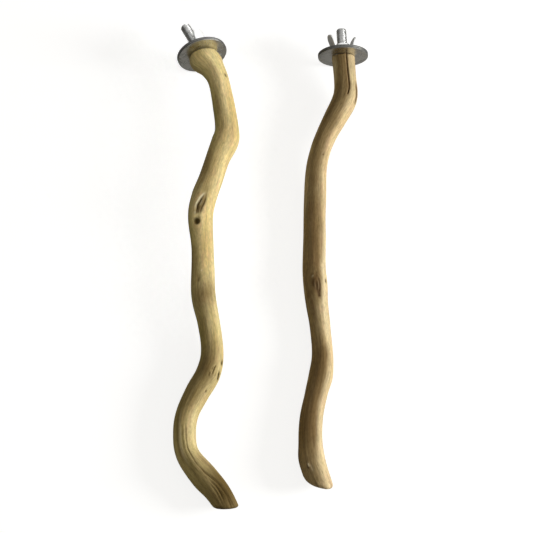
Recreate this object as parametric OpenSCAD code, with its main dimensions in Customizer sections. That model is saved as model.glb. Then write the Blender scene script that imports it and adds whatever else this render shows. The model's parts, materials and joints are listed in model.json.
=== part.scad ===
// A pair of branch perches for a bird cage, lying side by side on a table.
// Each is a crooked, peeled branch with a hanger bolt in one sawn end. Two
// broad washers and a pressed wing nut on the bolt grip the bars of the cage.

/* [Branches] */
// Thickness of a branch where it neither swells nor thins
branch_d = 13; // [11:0.5:15]
// Length of the left branch, from its washers to its far end
left_run = 276; // [230:2:340]
// Length of the right branch, from its washers to its far end
right_run = 264; // [230:2:340]
// Sideways reach that the bends are shares of
branch_wander = 20; // [10:1:26]
// Distance between the two perches, at their washers
perch_spacing = 84; // [80:1:120]
// How much further back the right perch lies
right_set_back = 1; // [0:1:20]
// Rounding of the left branch's sawn rim
left_rim_round = 2; // [0.4:0.1:2.4]
// Rounding of the right branch's sawn rim
right_rim_round = 0.6; // [0.4:0.1:2]
// Rounding of the left branch's far end
left_end_round = 1.5; // [0.5:0.5:4]
// Rounding of the right branch's far end
right_end_round = 4; // [0.5:0.5:5]

/* [Bolts] */
// Thread diameter of the hanger bolts
bolt_d = 6; // [5:0.5:7]
// Length of a hanger bolt, from its point to its free end
bolt_length = 42; // [40:1:60]
// Length of the left bolt that stands out of the wood
left_bolt_stands = 25; // [18:1:28]
// Length of the right bolt that stands out of the wood
right_bolt_stands = 18; // [16:1:28]
// Length of the tapered point
bolt_point = 5; // [3:0.5:8]
// Length of the plain waist between the two threads
bolt_waist = 3; // [2:0.5:6]
// How much thinner the waist is, on each side
waist_depth = 0.35; // [0.1:0.05:0.6]

/* [Washers] */
// Diameter of a washer
washer_d = 30; // [26:1:36]
// Thickness of a washer
washer_t = 1; // [0.8:0.1:2]
// Bevel on the pressed edges of a washer
washer_bevel = 0.2; // [0.1:0.05:0.3]

/* [Wing nuts] */
// Diameter of the pressed base
nut_base_d = 11.6; // [10.6:0.2:13]
// Thickness of the sheet
nut_sheet = 1; // [0.8:0.1:1.4]
// Outer diameter of the drawn, threaded collar
nut_collar_d = 8.4; // [8:0.1:8.6]
// Height of the collar above the seat
nut_collar_h = 5.6; // [3.5:0.1:6]
// Distance from the middle to the fold of an ear
ear_root = 4.4; // [4.3:0.1:5]
// Width of an ear
ear_w = 6.5; // [5.5:0.5:8]
// Length of an ear above its fold
ear_reach = 11; // [7:0.1:12]
// How far an ear leans outwards, in degrees
ear_lean = 18; // [10:1:45]

/* [Directions] */
// Heading of the left bolt, in degrees to the left of straight away
left_bolt_heading = 27; // [15:1:30]
// Heading of the left sawn face, in degrees to the left of straight away
left_face_heading = 15.5; // [13:0.5:27]
// How far the left bolt points upwards, in degrees
left_pitch = -3.5; // [-5:0.5:5]
// Heading of the right bolt, in degrees to the left of straight away
right_bolt_heading = 3; // [0:1:10]
// Heading of the right sawn face, in degrees to the left of straight away
right_face_heading = 1; // [-2:0.5:8]
// How far the right bolt points upwards, in degrees
right_pitch = 11; // [0:0.5:12]
// Turn of the left wing nut on its bolt, in degrees
left_nut_turn = 115; // [0:5:180]
// Turn of the right wing nut on its bolt, in degrees
right_nut_turn = 20; // [0:5:180]
// Heading of the left branch's far face, in degrees to the right of straight back
left_end_heading = 5; // [-10:1:30]
// How far the left branch's far face is cut back below, in degrees
left_end_undercut = 28; // [0:1:30]
// Heading of the right branch's far face, in degrees to the right of straight back
right_end_heading = -12; // [-15:1:25]
// How far the right branch's far face is cut back below, in degrees
right_end_undercut = 30; // [0:1:30]

/* [Hidden] */
$fn = 64;

bolt_r = bolt_d / 2;
washer_r = washer_d / 2;
nut_base_r = nut_base_d / 2;
nut_collar_r = nut_collar_d / 2;

// Clearance of a face that lies on another
seat_gap = 0.05;
// Clearance of the nut round the bolt, and of the bolt in its hole in the wood
running_gap = 0.05;
// Overrun of a cut past the solid that it cuts
overrun = 2;
// Chamfer at the free end of a bolt
bolt_chamfer = 0.6;
// Radius of the blunt tip of the wood screw
bolt_tip_r = 0.5;

// Each row of a branch is a place along it, with the branch's sideways place there, its height
// from lying on the table (0) to the middle of the washers (1), and its thickness, all as shares
left_bend_shares = [
    [0, 0, 1, 1.32],
    [0.016, 0.105, 1.01, 1.36],
    [0.035, 0.3, 1.02, 1.07],
    [0.065, 0.485, 1.02, 0.94],
    [0.12, 0.635, 0.98, 0.97],
    [0.18, 0.745, 0.9, 1.02],
    [0.215, 0.69, 0.85, 1.15],
    [0.255, 0.49, 0.78, 1.05],
    [0.3, 0.31, 0.7, 1.06],
    [0.345, 0.12, 0.62, 1.11],
    [0.39, 0.03, 0.56, 1.08],
    [0.46, 0.105, 0.47, 0.95],
    [0.56, 0.155, 0.33, 1.03],
    [0.62, 0.31, 0.28, 0.93],
    [0.685, 0.42, 0.2, 0.93],
    [0.73, 0.32, 0.1, 1.02],
    [0.77, 0.03, 0.04, 1.01],
    [0.81, -0.215, 0, 0.935],
    [0.85, -0.28, 0, 0.92],
    [0.895, -0.185, 0, 0.94],
    [0.94, 0.27, 0, 1.08],
    [0.972, 0.63, 0, 1],
    [1, 0.865, 0, 0.92]
];
right_bend_shares = [
    [0, 0, 1, 1.03],
    [0.05, 0.05, 0.72, 0.995],
    [0.085, 0.055, 0.54, 1.03],
    [0.115, -0.04, 0.47, 1.07],
    [0.15, -0.265, 0.43, 1.02],
    [0.19, -0.52, 0.41, 0.93],
    [0.23, -0.715, 0.38, 0.88],
    [0.28, -0.85, 0.29, 0.91],
    [0.35, -0.9, 0.14, 0.96],
    [0.44, -0.925, 0, 0.96],
    [0.51, -0.95, 0, 0.985],
    [0.555, -0.92, 0, 1.01],
    [0.6, -0.885, 0, 0.925],
    [0.65, -0.815, 0, 0.86],
    [0.715, -0.76, 0, 0.885],
    [0.76, -0.82, 0, 0.97],
    [0.8, -0.945, 0, 0.925],
    [0.85, -1.08, 0, 0.935],
    [0.9, -1.12, 0, 0.96],
    [0.95, -1.07, 0, 1.04],
    [1, -0.87, 0, 0.99]
];
// Each knot is a place along the branch and its length, as shares, its height as a share of the
// thickness, and its angle round the branch and its spread in degrees
left_knot_shares = [
    [0.205, 0.02, 0.04, 10, 40],
    [0.35, 0.03, 0.05, 110, 30],
    [0.735, 0.012, 0.04, 60, 30],
    [0.93, 0.03, 0.05, 100, 40]
];
right_knot_shares = [
    [0.095, 0.025, 0.04, 20, 40],
    [0.55, 0.02, 0.06, 95, 35],
    [0.765, 0.02, 0.04, 30, 40],
    [0.94, 0.02, 0.04, 150, 40]
];
// How much flatter than round a branch is, as a share
oval_share = 0.03;
// Length over which a slanted face bends the rings before it, in branch thicknesses
slant_shares = 1.6;

// Rings for each row of a branch, rings of a rounded rim, and sides of a ring
rings_per_row = 4;
rim_rings = 3;
branch_sides = 28;
// Least distance of a ring from the rounding of an end
least_ring_gap = 0.4;
// Flats of a nut's bend
bend_steps = 5;

// Directions
up = [0, 0, 1];
function unit(v) = v / norm(v);
function aim(heading, pitch) = [-sin(heading) * cos(pitch), cos(heading) * cos(pitch), sin(pitch)];

left_bolt_aim = aim(left_bolt_heading, left_pitch);
left_face_aim = aim(left_face_heading, left_pitch);
right_bolt_aim = aim(right_bolt_heading, right_pitch);
right_face_aim = aim(right_face_heading, right_pitch);
left_end_aim = -aim(left_end_heading, left_end_undercut);
right_end_aim = -aim(right_end_heading, right_end_undercut);

// How far the bolt leans in the sawn face, and with it in the washers
left_lean = acos(left_bolt_aim * left_face_aim);
right_lean = acos(right_bolt_aim * right_face_aim);
widest_lean = max(left_lean, right_lean);

// The hole of a washer clears the leaning bolt
washer_hole_r = bolt_r / cos(widest_lean) + washer_t / 2 * tan(widest_lean) + running_gap;
stack_h = 2 * (seat_gap + washer_t);

// Heights of the washers' middles above the sawn face
inner_h = seat_gap + washer_t / 2;
outer_h = inner_h + washer_t + seat_gap;

// The rims of the washers rest on the table
function seat_z(face_aim) = washer_r * sqrt(1 - face_aim.z ^ 2) - min(0, face_aim.z * stack_h);
left_rough_seat = [-perch_spacing / 2, 0, seat_z(left_face_aim)];
right_rough_seat = [perch_spacing / 2, -right_set_back, seat_z(right_face_aim)];

// A smooth curve through one column of a table, from t = 0 at its first row to 1 at its last
function smooth(table, column, t) =
    let (
        spans = len(table) - 1,
        row = min(floor(t * spans), spans - 1),
        u = t * spans - row,
        a = table[max(row - 1, 0)][column],
        b = table[row][column],
        c = table[row + 1][column],
        d = table[min(row + 2, spans)][column]
    )
    b + (u * (c - a) + u ^ 2 * (2 * a - 5 * b + 4 * c - d) + u ^ 3 * (3 * b - a - 3 * c + d)) / 2;

function local_r(table, t) = branch_d / 2 * smooth(table, 3, t);
function middle(table, seat, run, t) =
    let (lift = smooth(table, 2, t), lying_z = local_r(table, t))
    [
        seat.x + branch_wander * smooth(table, 1, t),
        seat.y - run * smooth(table, 0, t),
        lying_z + (seat.z - lying_z) * lift
    ];
function onward(table, seat, run, t) =
    let (step = 1 / (len(table) - 1) / rings_per_row)
    unit(middle(table, seat, run, min(t + step, 1)) - middle(table, seat, run, max(t - step, 0)));

// Swelling of the wood at its knots
function swelling(knots, place, angle) =
    branch_d * sum([
        for (knot = knots)
            let (turn = (angle - knot[3] + 540) % 360 - 180)
            knot[2] * exp(-((place - knot[0]) / knot[1]) ^ 2 - (turn / knot[4]) ^ 2)
    ]);
function sum(list) = list * [for (item = list) 1];

// One ring of the branch. A station is a place from 0 to 1, a shift along the branch and a
// change of radius. Near the ends the rings lean over into the sawn faces
function ring(table, knots, seat, run, first_aim, last_aim, station) =
    let (
        t = station[0],
        ahead = onward(table, seat, run, t),
        side = unit(cross(up, ahead)),
        top = cross(ahead, side),
        centre = middle(table, seat, run, t) + ahead * station[1],
        bend = slant_shares * branch_d,
        place = smooth(table, 0, t) * run,
        from_first = max(0, 1 - place / bend),
        from_last = max(0, 1 - (run - place) / bend),
        face_aim = from_first > 0 ? first_aim : last_aim,
        slant = (from_first + from_last) / (ahead * face_aim)
    )
    [
        for (k = [0:branch_sides - 1])
            let (
                angle = 360 * k / branch_sides,
                oval = 1 + oval_share * cos(2 * angle),
                r = local_r(table, t) * oval + swelling(knots, place / run, angle) + station[2],
                out = r * (cos(angle) * side + sin(angle) * top)
            )
            centre + out - ahead * (out * face_aim) * slant
    ];

// A ring that would fall into the rounding of either end is left out
function stations(table, run, rounds) =
    let (count = (len(table) - 1) * rings_per_row)
    concat(
        [for (a = [0:90 / rim_rings:90]) rounds[0] * [0, 1 - cos(a), sin(a) - 1]],
        [
            for (i = [1:count - 1])
                let (place = run * smooth(table, 0, i / count))
                if (min(place - rounds[0], run - place - rounds[1]) > least_ring_gap)
                    [i / count, 0, 0]
        ],
        [for (a = [0:90 / rim_rings:90]) [1, rounds[1] * (sin(a) - 1), rounds[1] * (cos(a) - 1)]]
    );

function branch_rings(table, knots, seat, run, first_aim, last_aim, rounds) = [
    for (station = stations(table, run, rounds))
        ring(table, knots, seat, run, first_aim, last_aim, station)
];

// The whole pair is centred over the origin and stands on the table
left_rough_rings = branch_rings(
    left_bend_shares, left_knot_shares, left_rough_seat, left_run,
    left_face_aim, left_end_aim, [left_rim_round, left_end_round]
);
right_rough_rings = branch_rings(
    right_bend_shares, right_knot_shares, right_rough_seat, right_run,
    right_face_aim, right_end_aim, [right_rim_round, right_end_round]
);
rough_points = [
    for (rings = [left_rough_rings, right_rough_rings], each_ring = rings, point = each_ring) point
];
function disc_reach(middle_place, disc_aim, r, side) =
    middle_place + side * r * [for (i = [0:2]) sqrt(max(0, 1 - disc_aim[i] ^ 2))];
function perch_reach(seat, face_aim, bolt_aim, stands, side) = [
    disc_reach(seat, face_aim, washer_r, side),
    disc_reach(seat + face_aim * stack_h, face_aim, washer_r, side),
    disc_reach(seat + bolt_aim * stands, bolt_aim, bolt_r - bolt_chamfer, side)
];
function reach(side) = concat(
    rough_points,
    perch_reach(left_rough_seat, left_face_aim, left_bolt_aim, left_bolt_stands, side),
    perch_reach(right_rough_seat, right_face_aim, right_bolt_aim, right_bolt_stands, side)
);
function lowest(points, i) = min([for (point = points) point[i]]);
function highest(points, i) = max([for (point = points) point[i]]);
centre_shift = -[
    (lowest(reach(-1), 0) + highest(reach(1), 0)) / 2,
    (lowest(reach(-1), 1) + highest(reach(1), 1)) / 2,
    lowest(reach(-1), 2)
];
left_seat = left_rough_seat + centre_shift;
right_seat = right_rough_seat + centre_shift;

module along(place, heading, pitch) {
    translate(place)
        rotate([pitch - 90, 0, heading])
            children();
}

module branch(rough_rings, seat, heading, pitch, stands) {
    rings = len(rough_rings);
    points = [for (each_ring = rough_rings, point = each_ring) point + centre_shift];
    walls = [
        for (i = [0:rings - 2], k = [0:branch_sides - 1])
            let (
                this = i * branch_sides + k,
                beside = i * branch_sides + (k + 1) % branch_sides
            )
            each [
                [this, this + branch_sides, beside],
                [beside, this + branch_sides, beside + branch_sides]
            ]
    ];
    first_face = [for (k = [0:branch_sides - 1]) k];
    last_face = [for (k = [branch_sides - 1:-1:0]) (rings - 1) * branch_sides + k];
    difference() {
        polyhedron(points, concat(walls, [first_face, last_face]));
        along(seat, heading, pitch)
            bolt_hole(stands);
    }
}

module bolt_hole(stands) {
    depth = bolt_length - stands;
    translate([0, 0, bolt_point - depth])
        cylinder(h = depth - bolt_point + overrun, r = bolt_r + running_gap);
    translate([0, 0, -depth])
        cylinder(h = bolt_point, r1 = bolt_tip_r + running_gap, r2 = bolt_r + running_gap);
}

// A hanger bolt: a wood screw with a point at one end and a machine thread at the other
module hanger_bolt(stands) {
    bottom = stands - bolt_length;
    waist_r = bolt_r - waist_depth;
    rotate_extrude()
        polygon([
            [0, bottom + running_gap],
            [bolt_tip_r, bottom + running_gap],
            [bolt_r, bottom + bolt_point],
            [bolt_r, -bolt_waist],
            [waist_r, waist_depth - bolt_waist],
            [waist_r, -waist_depth - bolt_waist / 3],
            [bolt_r, -bolt_waist / 3],
            [bolt_r, stands - bolt_chamfer],
            [bolt_r - bolt_chamfer, stands],
            [0, stands]
        ]);
}

module washer() {
    translate([0, 0, -washer_t / 2])
        rotate_extrude($fn = 96)
            polygon([
                [washer_hole_r, washer_bevel],
                [washer_hole_r + washer_bevel, 0],
                [washer_r - washer_bevel, 0],
                [washer_r, washer_bevel],
                [washer_r, washer_t - washer_bevel],
                [washer_r - washer_bevel, washer_t],
                [washer_hole_r, washer_t]
            ]);
}

// A washer lies flat on the sawn face, with its hole round the leaning bolt
module seated_washer(seat, face_heading, pitch, bolt_aim, lean, h) {
    along(seat + bolt_aim * h / cos(lean), face_heading, pitch)
        washer();
}

// One ear of the nut: a strip of sheet that bends up from the base and ends in a full round
module ear() {
    fold = [ear_root, nut_sheet];
    rise = [sin(ear_lean), cos(ear_lean)];
    outwards = [cos(ear_lean), -sin(ear_lean)];
    bend_step = (90 - ear_lean) / bend_steps;
    bend = [for (a = [0:bend_step:90 - ear_lean]) fold + nut_sheet * [sin(a), -cos(a)]];
    strip = concat(
        [[0, 0]],
        bend,
        [fold + nut_sheet * outwards + ear_reach * rise, fold + ear_reach * rise, fold, [0, nut_sheet]]
    );
    intersection() {
        translate([0, ear_w / 2, 0])
            rotate([90, 0, 0])
                linear_extrude(ear_w)
                    polygon(strip);
        translate([ear_root, 0, nut_sheet])
            rotate([0, ear_lean, 0])
                rotate([90, 0, 90])
                    translate([0, 0, -2 * ear_root])
                        linear_extrude(4 * ear_root) {
                            translate([-ear_w, -ear_reach])
                                square([2 * ear_w, 2 * ear_reach - ear_w / 2]);
                            translate([0, ear_reach - ear_w / 2])
                                circle(r = ear_w / 2);
                        }
    }
}

module wing_nut() {
    difference() {
        union() {
            intersection() {
                cylinder(h = nut_sheet, r = nut_base_r);
                translate([-ear_root, -nut_base_r, 0])
                    cube([2 * ear_root, 2 * nut_base_r, nut_sheet]);
            }
            cylinder(h = nut_collar_h, r = nut_collar_r);
            for (turn = [0, 180])
                rotate([0, 0, turn])
                    ear();
        }
        translate([0, 0, -overrun])
            cylinder(h = nut_collar_h + 2 * overrun, r = bolt_r + running_gap);
    }
}

// The nut is square to the bolt, so on the leaning washer only its edge bears
module seated_nut(seat, heading, pitch, lean, turn) {
    h = (stack_h + seat_gap) / cos(lean) + nut_base_r * tan(lean);
    along(seat, heading, pitch)
        translate([0, 0, h])
            rotate([0, 0, turn])
                wing_nut();
}

module left_branch() {
    color("burlywood")
        branch(left_rough_rings, left_seat, left_bolt_heading, left_pitch, left_bolt_stands);
}

module left_hanger_bolt() {
    color("silver")
        along(left_seat, left_bolt_heading, left_pitch)
            hanger_bolt(left_bolt_stands);
}

module left_inner_washer() {
    color("darkgray")
        seated_washer(left_seat, left_face_heading, left_pitch, left_bolt_aim, left_lean, inner_h);
}

module left_outer_washer() {
    color("darkgray")
        seated_washer(left_seat, left_face_heading, left_pitch, left_bolt_aim, left_lean, outer_h);
}

module left_wing_nut() {
    color("gainsboro")
        seated_nut(left_seat, left_bolt_heading, left_pitch, left_lean, left_nut_turn);
}

module right_branch() {
    color("tan")
        branch(right_rough_rings, right_seat, right_bolt_heading, right_pitch, right_bolt_stands);
}

module right_hanger_bolt() {
    color("silver")
        along(right_seat, right_bolt_heading, right_pitch)
            hanger_bolt(right_bolt_stands);
}

module right_inner_washer() {
    color("darkgray")
        seated_washer(
            right_seat, right_face_heading, right_pitch, right_bolt_aim, right_lean, inner_h
        );
}

module right_outer_washer() {
    color("darkgray")
        seated_washer(
            right_seat, right_face_heading, right_pitch, right_bolt_aim, right_lean, outer_h
        );
}

module right_wing_nut() {
    color("gainsboro")
        seated_nut(right_seat, right_bolt_heading, right_pitch, right_lean, right_nut_turn);
}

left_branch();
left_hanger_bolt();
left_inner_washer();
left_outer_washer();
left_wing_nut();
right_branch();
right_hanger_bolt();
right_inner_washer();
right_outer_washer();
right_wing_nut();
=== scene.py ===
import json
import math

import bpy
import numpy as np
from mathutils import Matrix, Vector


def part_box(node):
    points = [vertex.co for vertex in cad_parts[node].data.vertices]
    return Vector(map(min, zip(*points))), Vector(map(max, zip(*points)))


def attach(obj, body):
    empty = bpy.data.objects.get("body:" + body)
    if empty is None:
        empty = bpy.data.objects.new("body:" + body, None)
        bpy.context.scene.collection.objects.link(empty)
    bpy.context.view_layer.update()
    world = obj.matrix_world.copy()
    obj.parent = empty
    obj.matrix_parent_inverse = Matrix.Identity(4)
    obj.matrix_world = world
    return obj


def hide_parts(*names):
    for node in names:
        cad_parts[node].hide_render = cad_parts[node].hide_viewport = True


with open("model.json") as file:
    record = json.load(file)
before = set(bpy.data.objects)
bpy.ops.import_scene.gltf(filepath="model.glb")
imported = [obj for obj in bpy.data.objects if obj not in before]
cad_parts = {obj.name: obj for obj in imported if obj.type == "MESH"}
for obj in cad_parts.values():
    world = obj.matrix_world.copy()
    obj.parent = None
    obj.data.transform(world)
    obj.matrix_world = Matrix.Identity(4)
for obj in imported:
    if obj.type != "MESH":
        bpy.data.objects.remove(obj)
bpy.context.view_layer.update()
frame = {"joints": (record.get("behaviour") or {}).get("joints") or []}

mm = 0.001
scene = bpy.context.scene
joints = {joint["name"]: joint for joint in frame["joints"]}
up = np.array([0.0, 0.0, 1.0])


# Small helpers for directions, curves and noise

def unit(vectors):
    return vectors / np.linalg.norm(vectors, axis=-1, keepdims=True)


def aimOf(heading, pitch):
    heading, pitch = math.radians(heading), math.radians(pitch)
    return np.array([
        -math.sin(heading) * math.cos(pitch),
        math.cos(heading) * math.cos(pitch),
        math.sin(pitch),
    ])


# Angles counted from another one, between -180 and 180 degrees
def turnFrom(angles, angle):
    return (angles - angle + 540) % 360 - 180


# Flat at 0 and 1 and steep between, for shares from 0 to 1
def ease(share):
    return share * share * (3 - 2 * share)


# A smooth curve through one column of a branch's rows, from t = 0 at the first to 1 at the last
def smoothColumn(branch, column, t):
    values = np.array([row[column] for row in branch["rows"]])
    spans = len(values) - 1
    row = np.minimum(np.floor(t * spans).astype(int), spans - 1)
    u = t * spans - row
    a, b = values[np.maximum(row - 1, 0)], values[row]
    c, d = values[row + 1], values[np.minimum(row + 2, spans)]
    bend = u ** 2 * (2 * a - 5 * b + 4 * c - d) + u ** 3 * (3 * b - a - 3 * c + d)
    return b + (u * (c - a) + bend) / 2


# Smooth random hills on a tube, seamless round it; around and along both run from 0 to 1
def tubeNoise(seed, around, along, aroundCells, alongCells):
    hills = np.random.default_rng(seed).uniform(-1, 1, (alongCells + 2, aroundCells))
    a, s = around * aroundCells, np.clip(along, 0, 1) * alongCells
    i, k = np.floor(s).astype(int), np.floor(a).astype(int)
    u, v = ease(s - i), ease(a - k)
    k, beside = k % aroundCells, (k + 1) % aroundCells
    near = hills[i, k] * (1 - v) + hills[i, beside] * v
    far = hills[i + 1, k] * (1 - v) + hills[i + 1, beside] * v
    return near * (1 - u) + far * u


# Layers of such hills, each with its height, its cells round and along, and how deep it sinks
def layeredNoise(seed, around, along, layers):
    total = np.zeros(around.shape)
    for index, (height, aroundCells, alongCells, sink) in enumerate(layers):
        total += height * (tubeNoise(seed + index, around, along, aroundCells, alongCells) - sink)
    return total


# Points of an arc round (x, z), one at each angle
def arcPoints(x, z, r, angles):
    return [(x + r * math.cos(a), z + r * math.sin(a)) for a in np.radians(angles)]


# A profile of radii and heights, turned by an angle about the axis
def turnedProfile(profile, a):
    return [(r * math.cos(a), r * math.sin(a), z) for r, z in profile]


# Six times the volume inside some faces, below zero where they are wound inwards
def signedVolume(points, faces):
    points = np.asarray(points)
    fans = [(face[0], face[i], face[i + 1]) for face in faces for i in range(1, len(face) - 1)]
    first, second, third = (points[list(corners)] for corners in zip(*fans))
    return (first * np.cross(second, third)).sum()


# Makes one object out of points and faces, and turns its faces outwards
def makePiece(name, points, faces, material, sharpAngle=None):
    mesh = bpy.data.meshes.new(name)
    mesh.from_pydata([tuple(point) for point in points], [], faces)
    mesh.validate()
    mesh.update()
    if signedVolume(points, faces) < 0:
        mesh.flip_normals()
    mesh.shade_smooth()
    if sharpAngle:
        mesh.set_sharp_from_angle(angle=math.radians(sharpAngle))
    mesh.materials.append(material)
    piece = bpy.data.objects.new(name, mesh)
    scene.collection.objects.link(piece)
    return piece


# Stores a value, vector or colour at each point of a piece for its material to read
def addAttribute(piece, name, kind, values):
    values = np.asarray(values, np.float32)
    if kind == "FLOAT_COLOR":
        values = np.concatenate([np.clip(values, 0, 1), np.ones((len(values), 1), np.float32)], 1)
    key = {"FLOAT": "value", "FLOAT_VECTOR": "vector", "FLOAT_COLOR": "color"}[kind]
    piece.data.attributes.new(name, kind, "POINT").data.foreach_set(key, values.ravel())


# Quads between rings of as many points each; closed joins the last ring to the first
def ringFaces(ringCount, sides, closed=False):
    faces = []
    for i in range(ringCount if closed else ringCount - 1):
        j = (i + 1) % ringCount
        for k in range(sides):
            n = (k + 1) % sides
            faces.append((i * sides + k, i * sides + n, j * sides + n, j * sides + k))
    return faces


# The faces of a run of rings, closed at both ends
def tubeFaces(ringCount, sides):
    last = (ringCount - 1) * sides
    ends = [tuple(reversed(range(sides))), tuple(range(last, last + sides))]
    return ringFaces(ringCount, sides) + ends


# Stands a piece drawn round +Z at a place, with its +Z along an aim and its +X turned as in CAD
def standAlong(points, place, heading, pitch, turn=0.0):
    stand = (
        Matrix.Rotation(math.radians(heading), 3, "Z")
        @ Matrix.Rotation(math.radians(pitch - 90), 3, "X")
        @ Matrix.Rotation(math.radians(turn), 3, "Z")
    )
    return np.asarray(points) @ np.array(stand).T + np.array(place)


# Node helpers

def addNode(tree, kind, inputs=None, **settings):
    node = tree.nodes.new("ShaderNode" + kind)
    for key, value in settings.items():
        setattr(node, key, value)
    for key, value in (inputs or {}).items():
        if isinstance(value, bpy.types.NodeSocket):
            tree.links.new(value, node.inputs[key])
        else:
            node.inputs[key].default_value = value
    return node


def newMaterial(name):
    material = bpy.data.materials.new(name)
    material.use_nodes = True
    tree = material.node_tree
    tree.nodes.clear()
    return material, tree


def maths(tree, operation, first, second=0.0):
    return addNode(tree, "Math", {0: first, 1: second}, operation=operation).outputs[0]


def times(tree, first, second):
    return maths(tree, "MULTIPLY", first, second)


def plus(tree, first, second):
    return maths(tree, "ADD", first, second)


def vectorMaths(tree, operation, first, second=(0, 0, 0), output="Value"):
    return addNode(tree, "VectorMath", {0: first, 1: second}, operation=operation).outputs[output]


def remap(tree, value, fromLow, fromHigh, toLow, toHigh):
    return addNode(tree, "MapRange", {
        "Value": value, "From Min": fromLow, "From Max": fromHigh, "To Min": toLow, "To Max": toHigh,
    }).outputs["Result"]


def stretchedNoise(tree, vector, acrossSize, alongSize, detail, roughness=0.55):
    scale = (1 / acrossSize, 1 / acrossSize, 1 / alongSize)
    mapping = addNode(tree, "Mapping", {"Vector": vector, "Scale": scale})
    return addNode(tree, "TexNoise", {
        "Vector": mapping.outputs[0], "Scale": 1.0, "Detail": detail, "Roughness": roughness,
    }).outputs["Fac"]


def mixColours(tree, factor, first, second, blend="MIX"):
    inputs = {0: factor, 6: first, 7: second}
    return addNode(tree, "Mix", inputs, data_type="RGBA", blend_type=blend).outputs[2]


def shadeColour(tree, colour, shade):
    grey = addNode(tree, "CombineColor", {0: shade, 1: shade, 2: shade}).outputs[0]
    return mixColours(tree, 1.0, colour, grey, "MULTIPLY")


def readAttribute(tree, name, output):
    return addNode(tree, "Attribute", attribute_name=name).outputs[output]


def readChannels(tree, name):
    return addNode(tree, "SeparateColor", {0: readAttribute(tree, name, "Color")}).outputs[:3]


def finishMaterial(tree, height, bumpStrength, bumpDistance, inputs):
    bump = addNode(tree, "Bump", {
        "Height": height, "Strength": bumpStrength, "Distance": bumpDistance,
    })
    shader = addNode(tree, "BsdfPrincipled", {**inputs, "Normal": bump.outputs[0]})
    addNode(tree, "OutputMaterial", {"Surface": shader.outputs[0]})


# Peeled wood: the noises' sizes across and along the fibres and their detail, and the ramps
# that turn noise into shares, each from a low and a high value to two shares

woodShape = {
    "noises": {
        "broad": (6 * mm, 50 * mm, 3),
        "mottle": (3 * mm, 9 * mm, 3),
        "bands": (1.6 * mm, 26 * mm, 3),
        "fibres": (0.45 * mm, 8 * mm, 4),
        "flecks": (0.7 * mm, 2.4 * mm, 3),
    },
    "paleRamp": (0.38, 0.62, 0, 1), "pinkRamp": (0.52, 0.68, 0, 0.5),
    "greenRamp": (0.45, 0.3, 0, 0.4), "oliveRamp": (0.35, 0.6, 1, 0.6),
    "brownRamp": (0.3, 0.7, 1, 0.85), "bandShade": (0.3, 0.7, 0.84, 1.14),
    "fibreShade": (0.3, 0.7, 0.82, 1.14), "fleckShade": (0.3, 0.6, 0.77, 1.08),
    "roughness": (0.3, 0.7, 0.62, 0.5), "crackRoughness": 0.3, "specular": 0.15,
    "ringWobble": 0.5 * mm, "fleckHeight": 0.5, "bumpStrength": 0.55, "bumpDistance": 0.06 * mm,
}
# The olive and brown colours are painted shade; the crack and stain colours also paint the shadow where
# the heads meet the washers, and the lip colour some painted highlights
yellowWood = {
    "pale": (0.83, 0.69, 0.345, 1), "tan": (0.71, 0.55, 0.225, 1), "pink": (0.72, 0.48, 0.25, 1),
    "green": (0.64, 0.57, 0.22, 1), "oliveShade": (0.40, 0.33, 0.105, 1),
    "brownShade": (0.25, 0.17, 0.064, 1), "stainAndShadow": (0.13, 0.08, 0.016, 1),
    "crackAndShadow": (0.028, 0.017, 0.003, 1), "lip": (0.93, 0.84, 0.55, 1), "sawn": (0.62, 0.48, 0.26, 1),
    "ringWidth": 0.8 * mm,
}
brownWood = {
    "pale": (0.84, 0.69, 0.41, 1), "tan": (0.73, 0.545, 0.285, 1), "pink": (0.74, 0.49, 0.30, 1),
    "green": (0.66, 0.55, 0.25, 1), "oliveShade": (0.40, 0.31, 0.11, 1),
    "brownShade": (0.24, 0.155, 0.057, 1), "stainAndShadow": (0.125, 0.064, 0.018, 1),
    "crackAndShadow": (0.028, 0.014, 0.004, 1), "lip": (0.93, 0.82, 0.56, 1), "sawn": (0.62, 0.46, 0.27, 1),
    "ringWidth": 0.7 * mm,
}


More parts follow.
